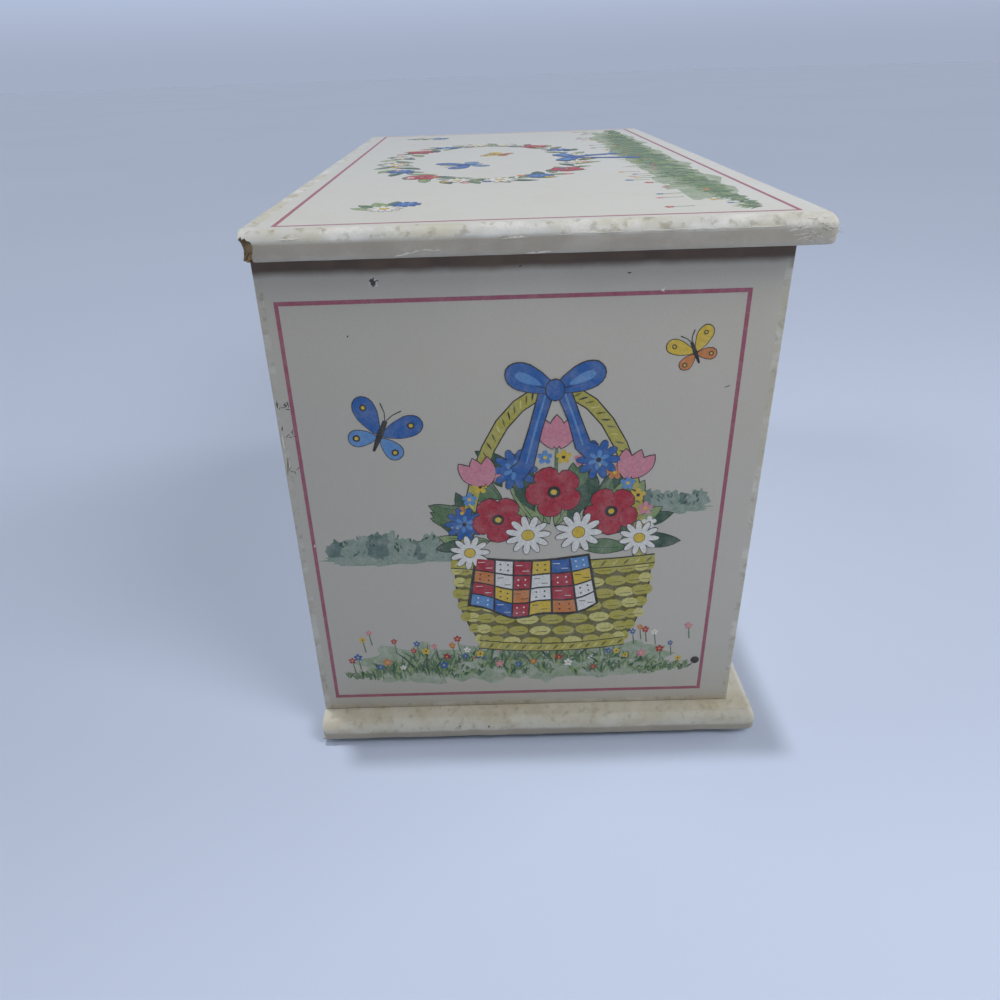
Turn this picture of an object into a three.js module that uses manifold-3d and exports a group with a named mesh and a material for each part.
// Musical jewelry box: a paper-covered board cabinet with a hinged lid, two drawers, a lined top
// compartment and an 18-note clockwork movement that turns a dancer. Millimetres; X runs along the
// box, +Y points to its back and +Z up, and the origin lies on the floor under the overall box.
import * as THREE from 'three';
import { mergeVertices } from 'three/addons/utils/BufferGeometryUtils.js';
import Module from 'manifold-3d';

// Cabinet boards
const bodyLength = 246;
const bodyDepth = 127;
const panelHeight = 140;
const panelThickness = 7;
const shelfThickness = 4;
const partitionThickness = 4;
const drawerOpeningHeight = 37;
const bayDepth = 34;

// Base board and feet
const baseThickness = 6.5;
const baseEndOverhang = 7;
const baseFrontOverhang = 8;
const baseEdgeRound = 2.7;
const baseLowerRound = 0.8;
const baseCornerRadius = 3;
const footHeight = 2;
const footRadius = 7;
const footInset = 16;

// Lid board
const lidThickness = 7;
const lidEndOverhang = 7;
const lidFrontOverhang = 7;
const lidSeatGap = 0.3;
const lidEdgeRound = 3;
const lidLowerRound = 0.8;
const lidCornerRadius = 3.2;

// Lid lining and mirror
const liningThickness = 3;
const liningEdgeThickness = 1.2;
const liningInset = 2;
const liningWidth = 28;
const liningCornerRadius = 5;
const mirrorThickness = 2;
const mirrorGap = 0.4;

// Hinges
const hingeLength = 30;
const hingeSpacing = 150;
const leafWidth = 5.5;
const leafThickness = 0.6;
const knuckleRadius = 1.7;
const knuckleBore = 1.0;
const knuckleGap = 0.3;
const knuckleStandoff = 0.2;
const hingePinRadius = 0.8;
const hingePinHead = 0.8;
const mortiseGap = 0.3;
const mortisePlay = 0.05;

// Top compartment
const dividerThickness = 3;
const dividerHeight = 40;
const stageWidth = 76;
const rollCount = 8;
const rollHeight = 12;
const rollValleyHeight = 5;
const rollEndRound = 7;
const cushionGap = 0.4;

// Drawers
const drawerBoard = 4;
const drawerBottomThickness = 2;
const drawerBottomLift = 1;
const drawerSideHeight = 29;
const drawerRunGap = 0.3;
const drawerHeadroom = 0.7;
const drawerSideGap = 0.6;
const drawerEndGap = 1;
const drawerSideInset = 0.8;
const knobSpacing = 140;
const knobReach = 11;
const knobRadius = 5.5;
const knobNeckRadius = 2.4;
const knobFootRadius = 4.4;
const knobFootThickness = 1;
const knobFlatShare = 0.72;

// Movement: mounting block and bedplate
const blockThickness = 8;
const blockMargin = 3;
const plateThickness = 2;
const plateMargin = 3;
const plateBelowKey = 17;
const plateCornerRadius = 3;
const plateScrewRadius = 0.9;
const plateScrewInset = 3.6;
const bracketThickness = 1.2;
const bracketHalfWidth = 4;
const bracketGap = 0.6;

// Movement: spring, great wheel, arbor and key
const keyAxisHeight = 29.5;
const arborRadius = 1.5;
const arborCollarRadius = 2.6;
const arborEndReach = 0.4;
const fitGap = 0.3;
const contrateModule = 0.7;
const contrateFaceWidth = 2;
const wheelStandoff = 2;
const wheelDiscThickness = 2.4;
const housingRadius = 12;
const housingWall = 0.8;
const housingDepth = 11.8;
const housingGap = 0.8;
const housingSideGap = 0.8;
const housingArmWidth = 8;
const housingArmThickness = 1.5;
const housingLegGap = 1;
const mainspringTurns = 5;
const mainspringThickness = 0.35;
const mainspringGap = 0.4;
const keyHoleRadius = 3;
const keyReach = 16;
const keyStandoff = 1;
const keyStemRadius = 2.6;
const keySocketDepth = 6;
const keySocketFloor = 1;
const keyLobeRadius = 5;
const keyLobeOffset = 6.5;
const keyLobeHole = 2;
const keyWingThickness = 1.8;

// Movement: melody cylinder and comb
const pinionTeeth = 10;
const pinionSideMargin = 0.2;
const spindleRadius = 1;
const cylinderRadius = 6.5;
const noteCount = 18;
const pinsPerNote = 3;
const notePitch = 1;
const pinHeight = 0.55;
const pinRadius = 0.16;
const combTipGap = 0.3;
const combThickness = 0.6;
const combToothWidth = 0.55;
const combLongTooth = 14;
const combShortTooth = 8.5;
const combBaseWidth = 6;
const combSeatWidth = 5;

// Movement: governor
const governorModule = 0.5;
const cylinderGearTeeth = 30;
const cylinderGearWidth = 1.4;
const governorPinionTeeth = 8;
const governorSideMargin = 0.2;
const governorCollar = 0.6;
const governorPivotRadius = 0.5;
const wormWheelTeeth = 16;
const wormWheelWidth = 1.2;
const wormStarts = 2;
const wormPitchRadius = 2.1;
const wormLength = 6;
const flyRadius = 4.5;
const flyLength = 3.5;
const flyThickness = 0.5;
const flyHubRadius = 1.1;
const flyGap = 1.4;
const frameThickness = 1.2;
const frameClearance = 1.2;
const frameFootHeight = 8;
const frameEdge = 1.5;
const earReach = 1.8;

// Stop rod
const rodRadius = 0.8;
const rodBendRadius = 3;
const rodFootGap = 0.4;
const rodFootLength = 2;
const rodTopGap = 0.3;

// Dancer
const turntableRadius = 12;
const turntableThickness = 2;
const turntableLift = 0.8;
const springRadius = 2.1;
const springWireRadius = 0.35;
const springHeight = 8;
const springTurns = 5.5;
const springPegHeight = 2;
const dancerCapRadius = 2.7;
const dancerCapThickness = 1.2;
const dancerCapCrown = 0.6;
const dancerHeight = 40;
const skirtRadius = 15.5;
const skirtThickness = 0.9;
const skirtWave = 1.1;
const skirtDrop = 2.2;
const skirtFolds = 14;
const skirtGap = 0.4;

// Shares of a gear's module or circular pitch
const addendumShare = 0.8;
const dedendumShare = 1;
const toothWidthShare = 0.36;
const toothTipShare = 0.16;
const contrateTipShare = 0.18;

// One overrun for every cut, and the steps that round shapes are drawn with
const overrun = 0.5;
const mergeTolerance = 0.0001;
const roundSteps = 4;
const rollSteps = 6;
const crownSteps = 6;
const spiralSteps = 16;
const fineSides = 12;
const mediumSides = 20;
const largeSides = 32;
const limbSides = 7;
const springSteps = 10;
const springSides = 5;
const pegSides = 4;
const foldSteps = 4;
const ballSides = 10;
const ballRings = 7;
const wormSides = 14;
const wormSteps = 6;

// Places worked out from the sizes above
const innerHalf = bodyLength / 2 - panelThickness;
const frontReach = Math.max(baseFrontOverhang, knobReach);
const backY = (frontReach + bodyDepth - keyReach) / 2;
const frontY = backY - bodyDepth;
const fasciaBackY = frontY + panelThickness;
const backInnerY = backY - panelThickness;
const blockFaceY = backInnerY - blockThickness;
const bayFrontY = backInnerY - bayDepth;
const partitionFrontY = bayFrontY - partitionThickness;
const floorZ = footHeight + baseThickness;
const panelTopZ = floorZ + panelHeight;
const lidBottomZ = panelTopZ + lidSeatGap;
const drawerShelfZ = floorZ + drawerOpeningHeight;
const upperDrawerZ = drawerShelfZ + shelfThickness;
const stageBottomZ = upperDrawerZ + drawerOpeningHeight;
const stageTopZ = stageBottomZ + shelfThickness;

// Places in the movement: depths are counted from the block's face toward the front of the box
const pinionHalf = contrateFaceWidth / 2 + pinionSideMargin;
const contrateReach = housingRadius + housingSideGap + pinionHalf;
const contrateTeeth = Math.round(2 * contrateReach / contrateModule);
const contratePitchRadius = contrateModule * contrateTeeth / 2;
const pinionPitchRadius = contrateModule * pinionTeeth / 2;
const keyAxisZ = floorZ + keyAxisHeight;
const wheelBackDepth = plateThickness + wheelStandoff;
const wheelFaceDepth = wheelBackDepth + wheelDiscThickness;
const spindleDepth = wheelFaceDepth + dedendumShare * contrateModule + pinionPitchRadius;
const spindleY = blockFaceY - spindleDepth;
const contrateOuterRadius = contratePitchRadius + contrateFaceWidth / 2;
const housingBackDepth = wheelFaceDepth + housingGap;
const housingFrontDepth = housingBackDepth + housingDepth;
const pinionZ = keyAxisZ + contratePitchRadius;
const lowerBracketZ = pinionZ + pinionHalf + bracketGap;
const cylinderZ = lowerBracketZ + bracketThickness + bracketGap;
const cylinderLength = noteCount * notePitch;
const gearZ = cylinderZ + cylinderLength;
const gearTopZ = gearZ + cylinderGearWidth;
const upperBracketZ = gearTopZ + bracketGap;
const upperBracketTopZ = upperBracketZ + bracketThickness;
const combTipX = cylinderRadius + pinHeight + combTipGap;
const combBackX = combTipX + combLongTooth + combBaseWidth;
const cylinderGearPitch = governorModule * cylinderGearTeeth / 2;
const governorPinionPitch = governorModule * governorPinionTeeth / 2;
const wormWheelPitch = governorModule * wormWheelTeeth / 2;
const governorX = cylinderGearPitch + governorPinionPitch;
const wormWheelZ = gearTopZ + governorSideMargin + governorCollar + wormWheelWidth / 2;
const wormX = governorX + wormWheelPitch + wormPitchRadius;
const flyBackDepth = spindleDepth + wormLength / 2 + flyGap;
const flyFrontDepth = flyBackDepth + flyLength;
const earFaceDepth = flyFrontDepth + frameClearance;
const frameShelfZ = wormWheelZ - flyRadius - frameClearance;
const frameEarZ = wormWheelZ + wormWheelWidth / 2 + frameClearance;
const frameTopZ = frameEarZ + frameThickness;
const plateTopZ = frameTopZ + plateMargin / 2;
const plateRightX = wormX + flyRadius + plateMargin;
const rodX = wormX + flyRadius + rodFootGap + rodFootLength + rodBendRadius;
const rodDepth = flyBackDepth + flyLength / 2;
const turntableZ = stageTopZ + turntableLift;
const turntableTopZ = turntableZ + turntableThickness;
const dancerZ = turntableTopZ + springHeight;

const wasm = await Module();
wasm.setup();

// Keeps only places, merges shared corners, drops empty triangles and turns the faces outward.
function tidy(geometry) {
  const bare = geometry.clone();
  bare.deleteAttribute('normal');
  bare.deleteAttribute('uv');
  const merged = mergeVertices(bare, mergeTolerance);
  const place = merged.attributes.position;
  const corners = [0, 1, 2].map(() => new THREE.Vector3());
  const faces = [];
  let volume = 0;
  for (let i = 0; i < merged.index.count; i += 3) {
    const face = [0, 1, 2].map((k) => merged.index.getX(i + k));
    if (new Set(face).size < 3) continue;
    faces.push(face);
    corners.forEach((corner, k) => corner.fromBufferAttribute(place, face[k]));
    volume += corners[0].dot(corners[1].cross(corners[2]));
  }
  if (volume < 0) faces.forEach((face) => face.reverse());
  merged.setIndex(faces.flat());
  merged.computeVertexNormals();
  return merged;
}

function toSolid(geometry) {
  const closed = tidy(geometry);
  const mesh = new wasm.Mesh({
    numProp: 3,
    vertProperties: new Float32Array(closed.attributes.position.array),
    triVerts: new Uint32Array(closed.index.array),
  });
  return new wasm.Manifold(mesh);
}

function toGeometry(solid) {
  const made = solid.getMesh();
  const geometry = new THREE.BufferGeometry();
  geometry.setAttribute('position', new THREE.BufferAttribute(made.vertProperties, 3));
  geometry.setIndex(new THREE.BufferAttribute(made.triVerts, 1));
  return tidy(geometry);
}

function join(...pieces) {
  return toGeometry(pieces.map(toSolid).reduce((whole, piece) => whole.add(piece)));
}

function cut(piece, ...cutters) {
  return toGeometry(cutters.map(toSolid).reduce((rest, cutter) => rest.subtract(cutter), toSolid(piece)));
}

function box([x0, x1], [y0, y1], [z0, z1]) {
  const geometry = new THREE.BoxGeometry(x1 - x0, y1 - y0, z1 - z0);
  return geometry.translate((x0 + x1) / 2, (y0 + y1) / 2, (z0 + z1) / 2);
}

// A straight rod along Z, with a corner of its polygon on the X axis.
function rod(radius, [z0, z1], sides = fineSides) {
  const geometry = new THREE.CylinderGeometry(radius, radius, z1 - z0, sides);
  geometry.rotateX(Math.PI / 2);
  geometry.rotateZ(Math.PI / 2);
  return geometry.translate(0, 0, (z0 + z1) / 2);
}

// A shape turned round Z from [radius, height] pairs that start and end on the axis or close on
// themselves.
function turned(profile, sides = mediumSides) {
  const points = profile.map(([radius, height]) => new THREE.Vector2(radius, height));
  return new THREE.LatheGeometry(points, sides).rotateX(Math.PI / 2);
}

function extruded(shape, [z0, z1]) {
  const settings = { depth: z1 - z0, bevelEnabled: false, curveSegments: mediumSides };
  return new THREE.ExtrudeGeometry(shape, settings).translate(0, 0, z0);
}

// A flat plate with rounded corners, between two depths.
function roundedPlate([x0, x1], [y0, y1], depths, radius) {
  const shape = new THREE.Shape();
  for (let corner = 0; corner < 4; corner += 1) {
    const centreX = corner % 3 === 0 ? x1 - radius : x0 + radius;
    const centreY = corner < 2 ? y1 - radius : y0 + radius;
    for (let step = 0; step <= roundSteps; step += 1) {
      const angle = Math.PI / 2 * (corner + step / roundSteps);
      const x = centreX + radius * Math.cos(angle);
      const y = centreY + radius * Math.sin(angle);
      if (corner + step === 0) shape.moveTo(x, y);
      else shape.lineTo(x, y);
    }
  }
  shape.closePath();
  return extruded(shape, depths);
}

// Joins rings of points, alike in number, into a closed skin; each open end gets a fan round its middle.
function loft(rings, closed = false) {
  const sides = rings[0].length;
  const points = rings.flat();
  const faces = [];
  const spans = closed ? rings.length : rings.length - 1;
  for (let i = 0; i < spans; i += 1) {
    const here = i * sides;
    const next = ((i + 1) % rings.length) * sides;
    for (let j = 0; j < sides; j += 1) {
      const k = (j + 1) % sides;
      faces.push(here + j, here + k, next + k, here + j, next + k, next + j);
    }
  }
  if (!closed) {
    [0, rings.length - 1].forEach((i) => {
      const middle = new THREE.Vector3();
      rings[i].forEach((point) => middle.add(point));
      points.push(middle.divideScalar(sides));
      for (let j = 0; j < sides; j += 1) {
        const pair = [i * sides + j, i * sides + ((j + 1) % sides)];
        if (i === 0) pair.reverse();
        faces.push(points.length - 1, ...pair);
      }
    });
  }
  const geometry = new THREE.BufferGeometry().setFromPoints(points);
  geometry.setIndex(faces);
  return geometry;
}

// A round tube through hand-set places; each has its centre and radius, and the rings face along the path.
function limb(stations, sides = limbSides) {
  const centres = stations.map(([x, y, z]) => new THREE.Vector3(x, y, z));
  const rings = centres.map((centre, i) => {
    const before = centres[Math.max(i - 1, 0)];
    const after = centres[Math.min(i + 1, centres.length - 1)];
    const along = after.clone().sub(before).normalize();
    const side = new THREE.Vector3(0, 1, 0).cross(along).normalize();
    const up = along.clone().cross(side);
    const radius = stations[i][3];
    return Array.from({ length: sides }, (_, j) => {
      const angle = 2 * Math.PI * j / sides;
      const spoke = side.clone().multiplyScalar(Math.cos(angle)).addScaledVector(up, Math.sin(angle));
      return centre.clone().addScaledVector(spoke, radius);
    });
  });
  return loft(rings);
}

// The outline of a board seen from above, with its two front corners rounded and its back corners square.
function boardOutline(halfLength, front, back, cornerRadius, inset, z) {
  const half = halfLength - inset;
  const points = [new THREE.Vector3(half, back, z), new THREE.Vector3(-half, back, z)];
  [Math.PI, 1.5 * Math.PI].forEach((start) => {
    const centreX = start === Math.PI ? cornerRadius - halfLength : halfLength - cornerRadius;
    for (let step = 0; step <= roundSteps; step += 1) {
      const angle = start + Math.PI / 2 * step / roundSteps;
      const reach = Math.max(cornerRadius - inset, 0);
      const x = centreX + Math.cos(angle) * reach + Math.sign(centreX) * Math.min(cornerRadius - inset, 0);
      const y = front + cornerRadius + Math.sin(angle) * reach - Math.min(cornerRadius - inset, 0);
      points.push(new THREE.Vector3(x, y, z));
    }
  });
  return points;
}

// A board whose upper and lower edges are rounded on its front and ends and left square at its back.
function edgedBoard({ halfLength, front, back, bottom, top, upperRound, lowerRound, cornerRadius }) {
  const levels = [];
  for (let step = 0; step <= roundSteps; step += 1) {
    const angle = Math.PI / 2 * step / roundSteps;
    levels.push([lowerRound * (1 - Math.sin(angle)), bottom + lowerRound * (1 - Math.cos(angle))]);
  }
  for (let step = 0; step <= roundSteps; step += 1) {
    const angle = Math.PI / 2 * step / roundSteps;
    levels.push([upperRound * (1 - Math.cos(angle)), top - upperRound * (1 - Math.sin(angle))]);
  }
  return loft(levels.map(([inset, z]) => boardOutline(halfLength, front, back, cornerRadius, inset, z)));
}

const finishes = {
  paper: { color: 0xe4dfd3, roughness: 0.62, metalness: 0 },
  paperEdge: { color: 0xdcd3bd, roughness: 0.7, metalness: 0 },
  board: { color: 0xb9a27c, roughness: 0.85, metalness: 0 },
  felt: { color: 0x3f5a48, roughness: 0.95, metalness: 0 },
  satin: { color: 0xd99aa5, roughness: 0.45, metalness: 0 },
  velvet: { color: 0xb8566a, roughness: 0.9, metalness: 0 },
  mirror: { color: 0xdfe4e6, roughness: 0.03, metalness: 1 },
  brass: { color: 0xb9974e, roughness: 0.32, metalness: 1 },
  steel: { color: 0xa9adb0, roughness: 0.3, metalness: 1 },
  zinc: { color: 0x8f9396, roughness: 0.5, metalness: 1 },
  porcelain: { color: 0xf0d3c0, roughness: 0.35, metalness: 0 },
  net: { color: 0xf1b9c6, roughness: 0.8, metalness: 0 },
  ivory: { color: 0xefe6d2, roughness: 0.4, metalness: 0 },
};

const jewelryBox = new THREE.Group();
jewelryBox.name = 'musical_jewelry_box';

function place(parent, name, geometry, finish) {
  const material = new THREE.MeshStandardMaterial(finishes[finish]);
  const mesh = new THREE.Mesh(tidy(geometry), material);
  mesh.name = name;
  parent.add(mesh);
  return mesh;
}

// A hinge leaf's pocket in the edge of a board, open at the back face.
function hingePocket(centreX, [z0, z1]) {
  const half = hingeLength / 2 + mortiseGap;
  return box([centreX - half, centreX + half], [backY - leafWidth - mortiseGap, backY + overrun], [z0, z1]);
}

const hingeCentres = [-hingeSpacing / 2, hingeSpacing / 2];

function addCarcass() {
  const outerHalf = bodyLength / 2;
  const baseBoard = edgedBoard({
    halfLength: outerHalf + baseEndOverhang,
    front: frontY - baseFrontOverhang,
    back: backY,
    bottom: footHeight,
    top: floorZ,
    upperRound: baseEdgeRound,
    lowerRound: baseLowerRound,
    cornerRadius: baseCornerRadius,
  });
  place(jewelryBox, 'base_board', baseBoard, 'paperEdge');

  const depth = [frontY, backY];
  const height = [floorZ, panelTopZ];
  place(jewelryBox, 'left_end_panel', box([-outerHalf, -innerHalf], depth, height), 'paper');
  place(jewelryBox, 'right_end_panel', box([innerHalf, outerHalf], depth, height), 'paper');

  const keyHole = rod(keyHoleRadius, [-panelThickness, panelThickness], mediumSides)
    .rotateX(Math.PI / 2)
    .translate(0, (backInnerY + backY) / 2, keyAxisZ);
  const pocketHeights = [panelTopZ - leafThickness - mortisePlay, panelTopZ + overrun];
  const pockets = hingeCentres.map((x) => hingePocket(x, pocketHeights));
  const backBoard = box([-innerHalf, innerHalf], [backInnerY, backY], height);
  place(jewelryBox, 'back_panel', cut(backBoard, keyHole, ...pockets), 'paper');

  const across = [-innerHalf, innerHalf];
  const fascia = box(across, [frontY, fasciaBackY], [stageBottomZ, panelTopZ]);
  place(jewelryBox, 'front_fascia', fascia, 'paper');

  const shelf = box(across, [fasciaBackY, backInnerY], [stageBottomZ, stageTopZ]);
  const shelfCut = [stageBottomZ - overrun, stageTopZ + overrun];
  const spindleHole = rod(spindleRadius + fitGap, shelfCut).translate(0, spindleY, 0);
  const rodHole = rod(rodRadius + fitGap, shelfCut).translate(rodX, blockFaceY - rodDepth, 0);
  place(jewelryBox, 'stage_shelf', cut(shelf, spindleHole, rodHole), 'velvet');

  const runner = box(across, [frontY, partitionFrontY], [drawerShelfZ, upperDrawerZ]);
  place(jewelryBox, 'drawer_shelf', runner, 'board');
  const partition = box(across, [partitionFrontY, bayFrontY], [floorZ, stageBottomZ]);
  place(jewelryBox, 'bay_partition', partition, 'board');

  for (const [side, x] of [['left', -1], ['right', 1]]) {
    const frontFootY = frontY - baseFrontOverhang + footInset;
    for (const [end, y] of [['front', frontFootY], ['back', backY - footInset]]) {
      const foot = rod(footRadius, [0, footHeight], mediumSides);
      foot.translate(x * (outerHalf + baseEndOverhang - footInset), y, 0);
      place(jewelryBox, `foot_${end}_${side}`, foot, 'felt');
    }
  }
}

// Scalloped roll section: rolls side by side along Y over a flat foot, drawn down by a height share.
function rollSection(x, y0, y1, share) {
  const points = [new THREE.Vector3(x, y0, stageTopZ)];
  const rollDepth = (y1 - y0) / rollCount;
  const footRise = rollValleyHeight / 2;
  for (let roll = 0; roll < rollCount; roll += 1) {
    for (let step = roll === 0 ? 0 : 1; step <= rollSteps; step += 1) {
      const angle = Math.PI * step / rollSteps;
      const y = y0 + rollDepth * (roll + (1 - Math.cos(angle)) / 2);
      const rise = rollValleyHeight + rollHeight * Math.sin(angle);
      points.push(new THREE.Vector3(x, y, stageTopZ + footRise + (rise - footRise) * share));
    }
  }
  points.push(new THREE.Vector3(x, y1, stageTopZ));
  return points;
}

function addTopCompartment() {
  const lengthways = [fasciaBackY, backInnerY];
  const height = [stageTopZ, stageTopZ + dividerHeight];
  const inner = stageWidth / 2;
  const outer = inner + dividerThickness;
  place(jewelryBox, 'left_divider', box([-outer, -inner], lengthways, height), 'velvet');
  place(jewelryBox, 'right_divider', box([inner, outer], lengthways, height), 'velvet');
  const middle = (fasciaBackY + backInnerY) / 2;
  const crossways = [middle - dividerThickness / 2, middle + dividerThickness / 2];
  place(jewelryBox, 'cross_divider', box([outer, innerHalf], crossways, height), 'velvet');

  const x0 = -innerHalf + cushionGap;
  const x1 = -outer - cushionGap;
  const endShares = [0, 0.45, 0.75, 0.94];
  const stations = endShares.map((share, i) => [x0 + rollEndRound * i / endShares.length, share]);
  stations.push([x0 + rollEndRound, 1], [x1 - rollEndRound, 1]);
  [...endShares].reverse().forEach((share, i) => {
    stations.push([x1 - rollEndRound * (endShares.length - 1 - i) / endShares.length, share]);
  });
  const rings = stations.map(([x, share]) => {
    return rollSection(x, fasciaBackY + cushionGap, backInnerY - cushionGap, share);
  });
  place(jewelryBox, 'ring_roll_cushion', loft(rings), 'velvet');
}

const hingeAxisY = backY + knuckleRadius + knuckleStandoff;
const hingeAxisZ = panelTopZ + lidSeatGap / 2;

// A leaf is a strip from its pocket to the pin with its share of the knuckles; side 1 is the lid's.
function hingeLeaf(side) {
  const third = hingeLength / 3;
  const nearFace = side * lidSeatGap / 2;
  const farFace = nearFace + side * leafThickness;
  const heights = [Math.min(nearFace, farFace), Math.max(nearFace, farFace)];
  const strip = box([-hingeLength / 2, hingeLength / 2], [backY - leafWidth - hingeAxisY, 0], heights);
  const ownSpans = side > 0
    ? [[-third / 2, third / 2]]
    : [[-hingeLength / 2, -third / 2], [third / 2, hingeLength / 2]];
  const otherSpans = side > 0
    ? [[-hingeLength / 2 - overrun, -third / 2], [third / 2, hingeLength / 2 + overrun]]
    : [[-third / 2, third / 2]];
  const knuckles = ownSpans.map(([a, b]) => rod(knuckleRadius, [a, b]).rotateY(Math.PI / 2));
  const room = knuckleRadius + knuckleGap;
  const clear = otherSpans.map(([a, b]) => box([a, b], [-room, room], [-room, room]));
  const spacing = ownSpans.flat().filter((x) => Math.abs(x) < hingeLength / 2);
  const gaps = spacing.map((x) => {
    const half = knuckleGap / 2;
    return box([x - half, x + half], [-room, room], [-room, room]);
  });
  const boreEnd = hingeLength / 2 + overrun;
  const bore = rod(knuckleBore, [-boreEnd, boreEnd]).rotateY(Math.PI / 2);
  return cut(join(cut(strip, ...clear), ...knuckles), ...gaps, bore);
}

function addHinges() {
  for (const [i, side] of ['left', 'right'].entries()) {
    const seat = new THREE.Group();
    seat.position.set(hingeCentres[i], hingeAxisY, hingeAxisZ);
    jewelryBox.add(seat);
    place(seat, `hinge_case_leaf_${side}`, hingeLeaf(-1), 'brass');
    place(seat, `hinge_lid_leaf_${side}`, hingeLeaf(1), 'brass');
    const half = hingeLength / 2;
    const shank = rod(hingePinRadius, [-half - knuckleGap, half + knuckleGap]);
    const heads = [-1, 1].map((end) => {
      const near = half + knuckleGap;
      const span = end > 0 ? [near, near + hingePinHead] : [-near - hingePinHead, -near];
      return rod(knuckleRadius - knuckleStandoff, span);
    });
    place(seat, `hinge_pin_${side}`, join(shank, ...heads).rotateY(Math.PI / 2), 'steel');
  }
}

// The lining is a padded frame: a crowned section carried round a rounded rectangle under the lid.
function liningFrame() {
  const halfX = innerHalf - liningInset;
  const y0 = fasciaBackY + liningInset;
  const y1 = backInnerY - liningInset;
  const section = [];
  for (let step = 0; step <= crownSteps; step += 1) {
    const share = step / crownSteps;
    const crown = Math.sin(Math.PI * share) * (liningThickness - liningEdgeThickness);
    section.push([share * liningWidth, -liningEdgeThickness - crown]);
  }
  section.push([liningWidth, 0], [0, 0]);
  const stations = [];
  [[1, 1], [-1, 1], [-1, -1], [1, -1]].forEach(([signX, signY], corner) => {
    for (let step = 0; step <= roundSteps; step += 1) {
      const angle = Math.PI / 2 * (corner + step / roundSteps);
      stations.push([signX, signY, angle]);
    }
  });
  const middleY = (y0 + y1) / 2;
  const halfY = (y1 - y0) / 2;
  return loft(stations.map(([signX, signY, angle]) => section.map(([inward, drop]) => {
    const radius = Math.max(liningCornerRadius - inward, 0);
    const inset = Math.max(inward, liningCornerRadius);
    const x = signX * (halfX - inset) + Math.cos(angle) * radius;
    const y = middleY + signY * (halfY - inset) + Math.sin(angle) * radius;
    return new THREE.Vector3(x, y, lidBottomZ + drop);
  })), true);
}

function addLid() {
  const lid = edgedBoard({
    halfLength: bodyLength / 2 + lidEndOverhang,
    front: frontY - lidFrontOverhang,
    back: backY,
    bottom: lidBottomZ,
    top: lidBottomZ + lidThickness,
    upperRound: lidEdgeRound,
    lowerRound: lidLowerRound,
    cornerRadius: lidCornerRadius,
  });
  const pocketHeights = [lidBottomZ - overrun, lidBottomZ + leafThickness + mortisePlay];
  const pockets = hingeCentres.map((x) => hingePocket(x, pocketHeights));
  place(jewelryBox, 'lid_board', cut(lid, ...pockets), 'paper');
  place(jewelryBox, 'lid_lining', liningFrame(), 'satin');
  const border = liningInset + liningWidth + mirrorGap;
  const across = innerHalf - border;
  const glass = box([-across, across], [fasciaBackY + border, backInnerY - border],
    [lidBottomZ - mirrorThickness, lidBottomZ]);
  place(jewelryBox, 'lid_mirror', glass, 'mirror');
}

// A turned knob: foot, waisted neck and flattened ball, from the drawer's face outward.
function knobProfile() {
  const ballCentre = knobReach - knobRadius * knobFlatShare;
  const profile = [[0, 0], [knobFootRadius, 0], [knobFootRadius, knobFootThickness]];
  profile.push([knobNeckRadius, knobFootThickness * 2]);
  const start = Math.asin(knobNeckRadius / knobRadius);
  const steps = 6;
  for (let step = 0; step < steps; step += 1) {
    const angle = start + (Math.PI - start) * step / steps;
    profile.push([knobRadius * Math.sin(angle), ballCentre - knobRadius * knobFlatShare * Math.cos(angle)]);
  }
  profile.push([0, knobReach]);
  return profile;
}

function addDrawer(name, openingZ) {
  const bottomZ = openingZ + drawerRunGap;
  const frontTopZ = openingZ + drawerOpeningHeight - drawerHeadroom;
  const frontHalf = innerHalf - drawerSideGap;
  const boxHalf = frontHalf - drawerSideInset;
  const insideHalf = boxHalf - drawerBoard;
  const frontBack = frontY + panelThickness;
  const rear = partitionFrontY - drawerEndGap;
  const sideTopZ = bottomZ + drawerSideHeight;
  const front = box([-frontHalf, frontHalf], [frontY, frontBack], [bottomZ, frontTopZ]);
  place(jewelryBox, `${name}_front`, front, 'paper');
  const sideHeights = [bottomZ, sideTopZ];
  const lengthways = [frontBack, rear];
  const leftSide = box([-boxHalf, -insideHalf], lengthways, sideHeights);
  const rightSide = box([insideHalf, boxHalf], lengthways, sideHeights);
  place(jewelryBox, `${name}_left_side`, leftSide, 'board');
  place(jewelryBox, `${name}_right_side`, rightSide, 'board');
  const across = [-insideHalf, insideHalf];
  place(jewelryBox, `${name}_rear`, box(across, [rear - drawerBoard, rear], sideHeights), 'board');
  const floorHeights = [bottomZ + drawerBottomLift, bottomZ + drawerBottomLift + drawerBottomThickness];
  place(jewelryBox, `${name}_bottom`, box(across, [frontBack, rear - drawerBoard], floorHeights), 'velvet');
  for (const [side, x] of [['left', -knobSpacing / 2], ['right', knobSpacing / 2]]) {
    const knob = turned(knobProfile(), fineSides).rotateX(Math.PI / 2);
    knob.translate(x, frontY, (bottomZ + frontTopZ) / 2);
    place(jewelryBox, `${name}_knob_${side}`, knob, 'brass');
  }
}

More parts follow.
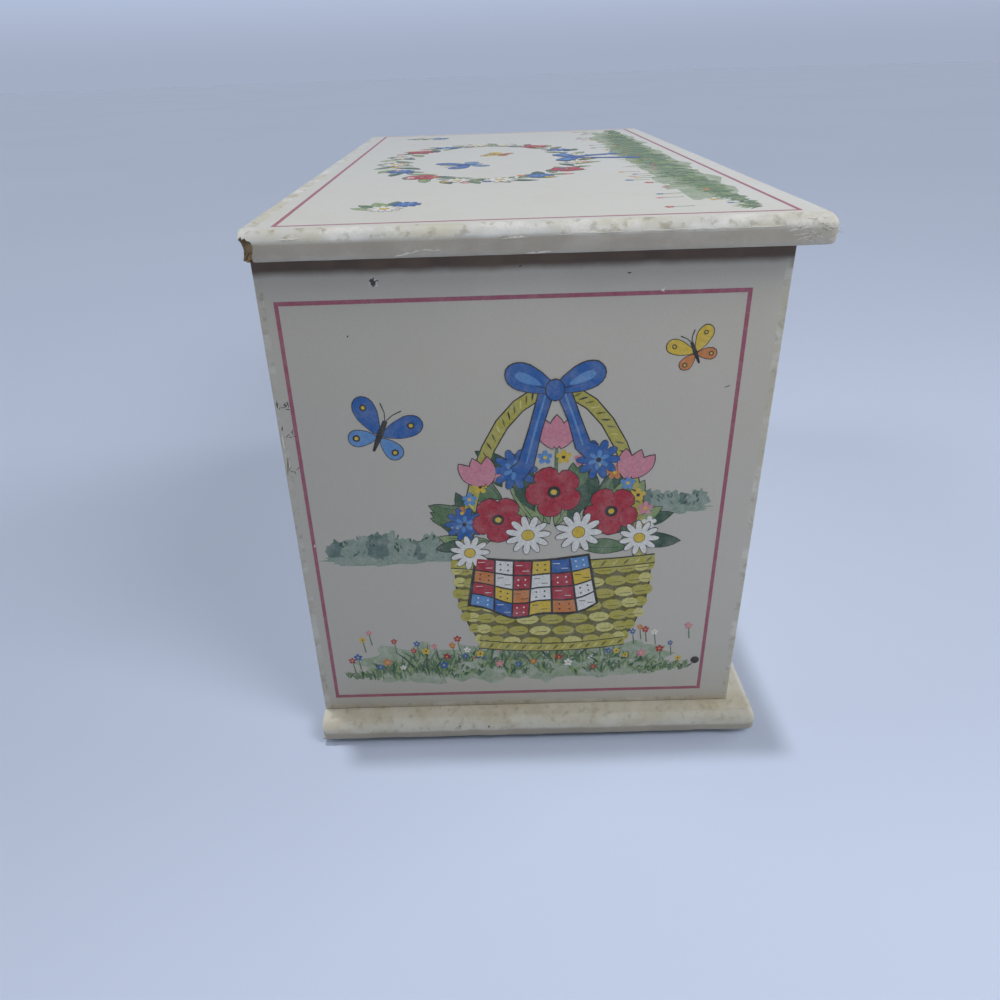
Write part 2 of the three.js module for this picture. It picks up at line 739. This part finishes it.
// A spur gear's outline: four corners a tooth, the first tooth's middle at the given angle.
function gearOutline(teeth, module, startAngle = 0) {
  const pitchRadius = module * teeth / 2;
  const tip = pitchRadius + addendumShare * module;
  const root = pitchRadius - dedendumShare * module;
  const pitchAngle = 2 * Math.PI / teeth;
  const pitchHalf = pitchAngle * toothWidthShare / 2;
  const tipHalf = pitchAngle * toothTipShare / 2;
  const rootHalf = pitchHalf + (pitchHalf - tipHalf) * dedendumShare / addendumShare;
  const corners = [[root, -rootHalf], [tip, -tipHalf], [tip, tipHalf], [root, rootHalf]];
  const shape = new THREE.Shape();
  for (let tooth = 0; tooth < teeth; tooth += 1) {
    const middle = startAngle + tooth * pitchAngle;
    corners.forEach(([radius, offset], k) => {
      const x = radius * Math.cos(middle + offset);
      const y = radius * Math.sin(middle + offset);
      if (tooth + k === 0) shape.moveTo(x, y);
      else shape.lineTo(x, y);
    });
  }
  shape.closePath();
  return shape;
}

function withBore(shape, radius) {
  const hole = new THREE.Path();
  for (let j = 0; j < fineSides; j += 1) {
    const angle = -2 * Math.PI * j / fineSides;
    if (j === 0) hole.moveTo(radius, 0);
    else hole.lineTo(radius * Math.cos(angle), radius * Math.sin(angle));
  }
  hole.closePath();
  shape.holes.push(hole);
  return shape;
}

// Movement frame: local X along the box, local Y up, local Z from the block's face to the front.
const movement = new THREE.Group();
movement.position.y = blockFaceY;
movement.rotation.x = Math.PI / 2;
jewelryBox.add(movement);

const keyTrain = new THREE.Group();
keyTrain.position.y = keyAxisZ;
movement.add(keyTrain);

// Spindle frame: upright on the melody cylinder's axis, with its heights counted from the floor.
const spindle = new THREE.Group();
spindle.position.y = spindleY;
jewelryBox.add(spindle);

function addMovementFrame() {
  const left = -combBackX - plateMargin;
  const bottom = keyAxisZ - plateBelowKey;
  const blockSpan = [left - blockMargin, plateRightX + blockMargin];
  const blockHeights = [bottom - blockMargin, plateTopZ + blockMargin];
  const keyHole = rod(keyHoleRadius, [-blockThickness - overrun, overrun], mediumSides);
  const block = box(blockSpan, blockHeights, [-blockThickness, 0]);
  place(movement, 'movement_block', cut(block, keyHole.translate(0, keyAxisZ, 0)), 'board');

  const plateDepths = [0, plateThickness];
  const plate = roundedPlate([left, plateRightX], [bottom, plateTopZ], plateDepths, plateCornerRadius);
  const lugSpan = [-bracketHalfWidth, bracketHalfWidth];
  const lugDepths = [plateThickness - overrun, spindleDepth + bracketHalfWidth - bracketThickness / 2];
  const lower = box(lugSpan, [lowerBracketZ, lowerBracketZ + bracketThickness], lugDepths);
  const upper = box(lugSpan, [upperBracketZ, upperBracketTopZ], lugDepths);
  const seatHeights = [cylinderZ - bracketGap, gearZ + bracketGap];
  const seat = box([-combBackX, combSeatWidth - combBackX], seatHeights,
    [plateThickness - overrun, spindleDepth - combThickness / 2]);
  const spindleBore = rod(spindleRadius + fitGap, [lowerBracketZ - overrun, upperBracketTopZ + overrun])
    .rotateX(-Math.PI / 2)
    .translate(0, 0, spindleDepth);
  const arborBore = rod(arborRadius + fitGap, [-overrun, plateThickness + overrun])
    .translate(0, keyAxisZ, 0);
  const screwPlaces = [
    [left + plateScrewInset, bottom + plateScrewInset],
    [plateRightX - plateScrewInset, bottom + plateScrewInset],
    [left + plateScrewInset, plateTopZ - plateScrewInset],
  ];
  const screwHoles = screwPlaces.map(([x, y]) => {
    return rod(plateScrewRadius, [-overrun, plateThickness + overrun]).translate(x, y, 0);
  });
  const bedplate = cut(join(plate, lower, upper, seat), spindleBore, arborBore, ...screwHoles);
  place(movement, 'movement_bedplate', bedplate, 'zinc');
}

function addSpringAndKey() {
  const bore = arborRadius + fitGap;
  const cup = turned([
    [housingRadius, housingBackDepth],
    [housingRadius, housingFrontDepth],
    [bore, housingFrontDepth],
    [bore, housingFrontDepth - housingWall],
    [housingRadius - housingWall, housingFrontDepth - housingWall],
    [housingRadius - housingWall, housingBackDepth],
    [housingRadius, housingBackDepth],
  ], largeSides);
  const legX = contrateOuterRadius + housingLegGap;
  const armHeights = [-housingArmWidth / 2, housingArmWidth / 2];
  const armTop = housingBackDepth + housingWall * 2 + housingArmThickness;
  const arms = [-1, 1].flatMap((side) => {
    const span = (a, b) => (side > 0 ? [a, b] : [-b, -a]);
    const armSpan = span(housingRadius - housingWall / 2, legX + housingArmThickness);
    return [
      box(armSpan, armHeights, [armTop - housingArmThickness, armTop]),
      box(span(legX, legX + housingArmThickness), armHeights, [plateThickness, armTop]),
    ];
  });
  place(keyTrain, 'spring_housing', join(cup, ...arms), 'zinc');

  const springInner = arborRadius + mainspringGap;
  const springOuter = housingRadius - housingWall - mainspringGap - mainspringThickness;
  const springDepths = [housingBackDepth + mainspringGap, housingFrontDepth - housingWall - mainspringGap];
  const spiral = [];
  for (let step = 0; step <= mainspringTurns * spiralSteps; step += 1) {
    const angle = 2 * Math.PI * step / spiralSteps;
    const radius = springInner + (springOuter - springInner) * step / (mainspringTurns * spiralSteps);
    const at = (r, depth) => new THREE.Vector3(r * Math.cos(angle), r * Math.sin(angle), depth);
    const outer = radius + mainspringThickness;
    const [back, front] = springDepths;
    spiral.push([at(radius, back), at(outer, back), at(outer, front), at(radius, front)]);
  }
  place(keyTrain, 'mainspring', loft(spiral), 'steel');

  const disc = turned([
    [bore, wheelBackDepth],
    [contrateOuterRadius, wheelBackDepth],
    [contrateOuterRadius, wheelFaceDepth],
    [bore, wheelFaceDepth],
    [bore, wheelBackDepth],
  ], largeSides);
  const pitchAngle = 2 * Math.PI / contrateTeeth;
  const toothHeight = (addendumShare + dedendumShare) * contrateModule;
  const sink = toothHeight * overrun;
  const baseHalf = pitchAngle * toothWidthShare / 2
    + pitchAngle * (toothWidthShare - contrateTipShare) / 2 * dedendumShare / addendumShare;
  const tipHalf = pitchAngle * contrateTipShare / 2;
  const teeth = Array.from({ length: contrateTeeth }, (_, i) => {
    const middle = Math.PI / 2 + (i + 1 / 2) * pitchAngle;
    const corner = (radius, offset, depth) => {
      const angle = middle + offset;
      return new THREE.Vector3(radius * Math.cos(angle), radius * Math.sin(angle), depth);
    };
    const inner = contratePitchRadius - contrateFaceWidth / 2;
    const outer = contrateOuterRadius * Math.cos(Math.PI / largeSides);
    const level = (half, depth) => [
      corner(inner, -half, depth),
      corner(outer, -half, depth),
      corner(outer, half, depth),
      corner(inner, half, depth),
    ];
    return loft([
      level(baseHalf, wheelFaceDepth - sink),
      level(baseHalf, wheelFaceDepth),
      level(tipHalf, wheelFaceDepth + toothHeight),
    ]);
  });
  place(keyTrain, 'great_wheel', join(disc, ...teeth), 'brass');

  const keyFoot = -blockThickness - panelThickness - keyStandoff;
  const keyEnd = -blockThickness - panelThickness - keyReach;
  const arborBack = keyFoot - keySocketDepth + fitGap;
  const collar = [plateThickness + fitGap, wheelBackDepth - fitGap];
  const arbor = turned([
    [0, arborBack],
    [arborRadius, arborBack],
    [arborRadius, collar[0]],
    [arborCollarRadius, collar[0]],
    [arborCollarRadius, collar[1]],
    [arborRadius, collar[1]],
    [arborRadius, housingFrontDepth + arborEndReach],
    [0, housingFrontDepth + arborEndReach],
  ], fineSides);
  place(keyTrain, 'winding_arbor', arbor, 'steel');

  const stemEnd = keyFoot - keySocketDepth - keySocketFloor;
  const stem = turned([
    [bore, keyFoot],
    [keyStemRadius, keyFoot],
    [keyStemRadius, stemEnd],
    [0, stemEnd],
    [0, stemEnd + keySocketFloor],
    [bore, stemEnd + keySocketFloor],
    [bore, keyFoot],
  ], mediumSides);
  const lobeZ = keyEnd + keyLobeRadius;
  const flat = [-keyWingThickness / 2, keyWingThickness / 2];
  const wingDisc = (radius, x, thickness) => rod(radius, thickness, mediumSides)
    .rotateX(Math.PI / 2)
    .translate(x, 0, lobeZ);
  const wing = [-1, 1].map((side) => wingDisc(keyLobeRadius, side * keyLobeOffset, flat));
  const bridgeSpan = [lobeZ - keyStemRadius, stemEnd + keySocketFloor / 2];
  const bridge = box([-keyLobeOffset, keyLobeOffset], flat, bridgeSpan);
  const through = [-keyWingThickness, keyWingThickness];
  const holes = [-1, 1].map((side) => wingDisc(keyLobeHole, side * keyLobeOffset, through));
  place(keyTrain, 'winding_key', cut(join(stem, bridge, ...wing), ...holes), 'brass');
}

function addCylinder() {
  const pinion = extruded(gearOutline(pinionTeeth, contrateModule, Math.PI / 2),
    [pinionZ - pinionHalf, pinionZ + pinionHalf]);
  const shaft = rod(spindleRadius, [pinionZ, turntableZ]);
  place(spindle, 'cylinder_spindle', join(pinion, shaft), 'steel');

  const bore = spindleRadius + fitGap;
  const drum = turned([
    [bore, cylinderZ],
    [cylinderRadius, cylinderZ],
    [cylinderRadius, gearZ],
    [bore, gearZ],
    [bore, cylinderZ],
  ], largeSides);
  const pins = [];
  const turnShare = 0.382;
  for (let note = 0; note < noteCount; note += 1) {
    for (let pin = 0; pin < pinsPerNote; pin += 1) {
      const angle = 2 * Math.PI * (turnShare * (note * (pin + 1) + pin) + pin / pinsPerNote);
      const peg = new THREE.CylinderGeometry(pinRadius, pinRadius, pinHeight * 2, pegSides);
      peg.rotateZ(Math.PI / 2).translate(cylinderRadius, 0, 0).rotateZ(angle);
      pins.push(peg.translate(0, 0, cylinderZ + (note + 1 / 2) * notePitch));
    }
  }
  place(spindle, 'melody_cylinder', join(drum, ...pins), 'brass');

  const gear = withBore(gearOutline(cylinderGearTeeth, governorModule), bore);
  place(spindle, 'cylinder_gear', extruded(gear, [gearZ, gearTopZ]), 'brass');
}

// The comb lies across the cylinder's middle with its teeth graded from long at the bottom to short.
function addComb() {
  const shape = new THREE.Shape();
  const combBottom = cylinderZ;
  shape.moveTo(-combBackX, combBottom);
  for (let note = 0; note < noteCount; note += 1) {
    const share = note / (noteCount - 1);
    const root = -combTipX - combLongTooth + (combLongTooth - combShortTooth) * share;
    const low = combBottom + (note + 1 / 2) * notePitch - combToothWidth / 2;
    const high = low + combToothWidth;
    shape.lineTo(root, note === 0 ? combBottom : low);
    if (note === 0) shape.lineTo(root, low);
    shape.lineTo(-combTipX, low);
    shape.lineTo(-combTipX, high);
    shape.lineTo(root, high);
  }
  const combTop = combBottom + cylinderLength;
  shape.lineTo(-combTipX - combShortTooth, combTop);
  shape.lineTo(-combBackX, combTop);
  shape.closePath();
  const depths = [spindleDepth - combThickness / 2, spindleDepth + combThickness / 2];
  place(movement, 'comb', extruded(shape, depths), 'steel');
}

// The worm's skin: its radius rises and falls with the thread's phase at each angle and length.
function wormGeometry() {
  const axialPitch = Math.PI * governorModule;
  const crest = wormPitchRadius + addendumShare * governorModule;
  const root = wormPitchRadius - dedendumShare * governorModule;
  const flankSpan = (toothWidthShare - toothTipShare) / 2;
  const threadHalf = toothWidthShare / 2 + flankSpan * dedendumShare / addendumShare;
  const tipHalf = toothTipShare / 2;
  const ringCount = Math.round(wormLength / axialPitch * wormSteps);
  const start = spindleDepth - wormLength / 2;
  const rings = Array.from({ length: ringCount + 1 }, (_, i) => {
    const depth = start + wormLength * i / ringCount;
    return Array.from({ length: wormSides }, (__, j) => {
      const turn = j / wormSides;
      const phase = wormStarts * (turn - 1 / 2) - (depth - spindleDepth) / axialPitch + 1 / 2;
      const fromCrest = Math.abs(phase - Math.round(phase));
      const rise = THREE.MathUtils.clamp((threadHalf - fromCrest) / (threadHalf - tipHalf), 0, 1);
      const radius = root + (crest - root) * rise;
      const angle = 2 * Math.PI * turn;
      return new THREE.Vector3(radius * Math.cos(angle), radius * Math.sin(angle), depth);
    });
  });
  return loft(rings);
}

function addGovernor() {
  const pivot = governorPivotRadius;
  const pinionBottom = gearZ - governorSideMargin;
  const pinionTop = gearTopZ + governorSideMargin;
  const wheelBottom = wormWheelZ - wormWheelWidth / 2;
  const halfGap = Math.PI / governorPinionTeeth;
  const pinion = extruded(gearOutline(governorPinionTeeth, governorModule, Math.PI - halfGap),
    [pinionBottom, pinionTop]);
  const wheelHeights = [wheelBottom, wheelBottom + wormWheelWidth];
  const wheel = extruded(gearOutline(wormWheelTeeth, governorModule), wheelHeights);
  const lead = wormStarts * Math.PI * governorModule;
  const lean = lead / (2 * Math.PI * wormPitchRadius) / wormWheelPitch;
  const places = wheel.attributes.position;
  const point = new THREE.Vector3();
  const upright = new THREE.Vector3(0, 0, 1);
  for (let i = 0; i < places.count; i += 1) {
    point.fromBufferAttribute(places, i);
    point.applyAxisAngle(upright, (point.z - wormWheelZ) * lean);
    places.setXYZ(i, point.x, point.y, point.z);
  }
  const neckRadius = governorPinionPitch - dedendumShare * governorModule;
  const neck = rod(neckRadius, [pinionTop - overrun / 2, wheelBottom + overrun / 2]);
  const shaft = rod(pivot, [frameShelfZ - frameThickness, frameTopZ]);
  const train = new THREE.Group();
  train.position.x = governorX;
  spindle.add(train);
  place(train, 'governor_wheel', join(pinion, wheel, neck, shaft), 'brass');

  const flyAxis = new THREE.Group();
  flyAxis.position.set(wormX, wormWheelZ, 0);
  movement.add(flyAxis);
  const flyShaft = rod(pivot, [plateThickness + fitGap, earFaceDepth + frameThickness]);
  const hub = rod(flyHubRadius, [spindleDepth, flyFrontDepth]);
  const bladeFaces = [-flyThickness / 2, flyThickness / 2];
  const blades = box([-flyRadius, flyRadius], bladeFaces, [flyBackDepth, flyFrontDepth]);
  place(flyAxis, 'governor_fly', join(wormGeometry(), flyShaft, hub, blades), 'steel');

  const left = governorX - frameEdge;
  const right = wormX + flyRadius;
  const webDepths = [plateThickness, plateThickness + frameThickness];
  const web = box([left, right], [frameShelfZ - frameThickness - frameFootHeight, frameTopZ], webDepths);
  const shelfHeights = [frameShelfZ - frameThickness, frameShelfZ];
  const earDepths = [earFaceDepth, earFaceDepth + frameThickness];
  const shelf = box([left, right], shelfHeights, [plateThickness, earDepths[1]]);
  const earHeights = [shelfHeights[0], wormWheelZ + earReach];
  const ear = box([wormX - earReach, wormX + earReach], earHeights, earDepths);
  const topDepths = [plateThickness, spindleDepth + earReach];
  const top = box([left, governorX + earReach], [frameEarZ, frameTopZ], topDepths);
  const pivotBore = rod(pivot + fitGap / 2, [shelfHeights[0] - overrun, frameTopZ + overrun])
    .rotateX(-Math.PI / 2)
    .translate(governorX, 0, spindleDepth);
  const flyBore = rod(pivot + fitGap / 2, [plateThickness - overrun, earDepths[1] + overrun])
    .translate(wormX, wormWheelZ, 0);
  place(movement, 'governor_frame', cut(join(web, shelf, ear, top), pivotBore, flyBore), 'steel');
}

// A bent wire: a short foot beside the fly, one round bend, then straight up to just under the lid.
function addStopRod() {
  const footTip = wormX + flyRadius + rodFootGap;
  const topZ = lidBottomZ - liningThickness - rodTopGap;
  const bendX = rodX - rodBendRadius;
  const stations = [[footTip, 0, wormWheelZ, rodRadius]];
  for (let step = 0; step <= crownSteps; step += 1) {
    const angle = Math.PI / 2 * step / crownSteps;
    const x = bendX + rodBendRadius * Math.sin(angle);
    const z = wormWheelZ + rodBendRadius * (1 - Math.cos(angle));
    stations.push([x, 0, z, rodRadius]);
  }
  stations.push([rodX, 0, topZ, rodRadius]);
  const wire = limb(stations).translate(0, blockFaceY - rodDepth, 0);
  place(jewelryBox, 'stop_rod', wire, 'steel');
}

// The helix under the dancer, and the least gap between its turns.
function dancerSpring() {
  const steps = Math.round(springTurns * springSteps);
  const low = turntableTopZ + springWireRadius;
  const rise = springHeight - 2 * springWireRadius;
  const centres = Array.from({ length: steps + 1 }, (_, i) => {
    const angle = 2 * Math.PI * springTurns * i / steps;
    const height = low + rise * i / steps;
    return new THREE.Vector3(springRadius * Math.cos(angle), springRadius * Math.sin(angle), height);
  });
  let leastGap = Infinity;
  centres.forEach((one, i) => centres.slice(i + springSteps / 2 + 1).forEach((other) => {
    leastGap = Math.min(leastGap, one.distanceTo(other) - 2 * springWireRadius);
  }));
  console.log(`dancer spring: least gap between turns ${leastGap.toFixed(2)} mm`);
  return loft(centres.map((centre, i) => {
    const angle = 2 * Math.PI * springTurns * i / steps;
    const out = new THREE.Vector3(Math.cos(angle), Math.sin(angle), 0);
    const along = new THREE.Vector3(-springRadius * Math.sin(angle), springRadius * Math.cos(angle),
      rise / (2 * Math.PI * springTurns)).normalize();
    const up = along.clone().cross(out);
    return Array.from({ length: springSides }, (_, j) => {
      const turn = 2 * Math.PI * j / springSides;
      return centre.clone()
        .addScaledVector(out, springWireRadius * Math.cos(turn))
        .addScaledVector(up, springWireRadius * Math.sin(turn));
    });
  }));
}

// The figure: places and radii are shares of its height, from the toes up to the joined hands.
function dancerFigure() {
  const legShares = [[0, 0, 0, 0.018], [0.004, 0, 0.05, 0.02], [0.012, 0, 0.13, 0.033],
    [0.013, 0, 0.22, 0.028], [0.02, 0, 0.34, 0.04], [0.024, 0, 0.44, 0.046]];
  const bentLegShares = [[0.02, -0.03, 0.22, 0.014], [0.05, -0.05, 0.27, 0.024], [0.1, -0.08, 0.33, 0.028],
    [0.06, -0.04, 0.38, 0.036], [0.024, 0, 0.44, 0.045]];
  const armShares = [[0.045, 0, 0.69, 0.028], [0.125, -0.02, 0.75, 0.023], [0.16, -0.04, 0.83, 0.019],
    [0.13, -0.05, 0.91, 0.017], [0.07, -0.05, 0.965, 0.015], [0.016, -0.05, 0.985, 0.014]];
  const torsoShares = [[0, 0.41], [0.045, 0.415], [0.07, 0.45], [0.058, 0.5], [0.046, 0.55], [0.058, 0.63],
    [0.066, 0.67], [0.064, 0.7], [0.034, 0.73], [0.022, 0.75], [0.02, 0.78], [0, 0.785]];
  const toLimb = (shares, side) => limb(shares.map(([x, y, z, radius]) => {
    return [side * x * dancerHeight, y * dancerHeight, dancerZ + dancerCapThickness + z * dancerHeight,
      radius * dancerHeight];
  }));
  const torsoDepthShare = 0.8;
  const torsoProfile = torsoShares.map(([radius, z]) => [radius * dancerHeight, z * dancerHeight]);
  const torso = turned(torsoProfile, fineSides);
  torso.scale(1, torsoDepthShare, 1).translate(0, 0, dancerZ + dancerCapThickness);
  const headShare = 0.052;
  const headHeightShare = 0.815;
  const bunShare = 0.032;
  const bunHeightShare = 0.868;
  const sphere = (share) => new THREE.SphereGeometry(share * dancerHeight, ballSides, ballRings);
  const ball = (share, heightShare, y) => sphere(share)
    .rotateX(Math.PI / 2)
    .translate(0, y * share * dancerHeight, dancerZ + dancerCapThickness + heightShare * dancerHeight);
  const cap = turned([
    [0, dancerZ - springPegHeight],
    [springRadius - springWireRadius - fitGap, dancerZ - springPegHeight],
    [springRadius - springWireRadius - fitGap, dancerZ],
    [dancerCapRadius, dancerZ],
    [dancerCapRadius, dancerZ + dancerCapThickness],
    [0, dancerZ + dancerCapThickness + dancerCapCrown],
  ], fineSides);
  return join(cap, toLimb(legShares, -1), toLimb(legShares, 1), toLimb(bentLegShares, 1), torso,
    ball(headShare, headHeightShare, 0), ball(bunShare, bunHeightShare, 1 / 2),
    toLimb(armShares, -1), toLimb(armShares, 1));
}

// The skirt: a waved disc round the hips, dropping toward its edge.
function dancerSkirt() {
  const waistShare = 0.47;
  const hipShare = 0.07;
  const waistZ = dancerZ + dancerCapThickness + waistShare * dancerHeight;
  const inner = hipShare * dancerHeight + skirtGap;
  const ringShares = [0, 0.35, 0.7, 1];
  const around = skirtFolds * foldSteps;
  const edge = (share, lift) => Array.from({ length: around }, (_, j) => {
    const angle = 2 * Math.PI * j / around;
    const radius = inner + (skirtRadius - inner) * share;
    const wave = skirtWave * share * Math.sin(skirtFolds * angle);
    const z = waistZ - skirtDrop * share * share + wave + lift;
    return new THREE.Vector3(radius * Math.cos(angle), radius * Math.sin(angle), z);
  });
  const upper = ringShares.map((share) => edge(share, skirtThickness / 2));
  const lower = [...ringShares].reverse().map((share) => edge(share, -skirtThickness / 2));
  return loft([...upper, ...lower], true);
}

function addDancer() {
  const pegRadius = springRadius - springWireRadius - fitGap;
  const disc = turned([
    [0, turntableZ],
    [turntableRadius, turntableZ],
    [turntableRadius, turntableTopZ - turntableThickness / 4],
    [turntableRadius - turntableThickness / 4, turntableTopZ],
    [pegRadius, turntableTopZ],
    [pegRadius, turntableTopZ + springPegHeight],
    [0, turntableTopZ + springPegHeight],
  ], largeSides);
  place(spindle, 'turntable', disc, 'ivory');
  place(spindle, 'dancer_spring', dancerSpring(), 'steel');
  place(spindle, 'dancer_figure', dancerFigure(), 'porcelain');
  place(spindle, 'dancer_skirt', dancerSkirt(), 'net');
}

addCarcass();
addTopCompartment();
addHinges();
addLid();
addDrawer('lower_drawer', floorZ);
addDrawer('upper_drawer', upperDrawerZ);
addMovementFrame();
addSpringAndKey();
addCylinder();
addComb();
addGovernor();
addStopRod();
addDancer();

export default jewelryBox;
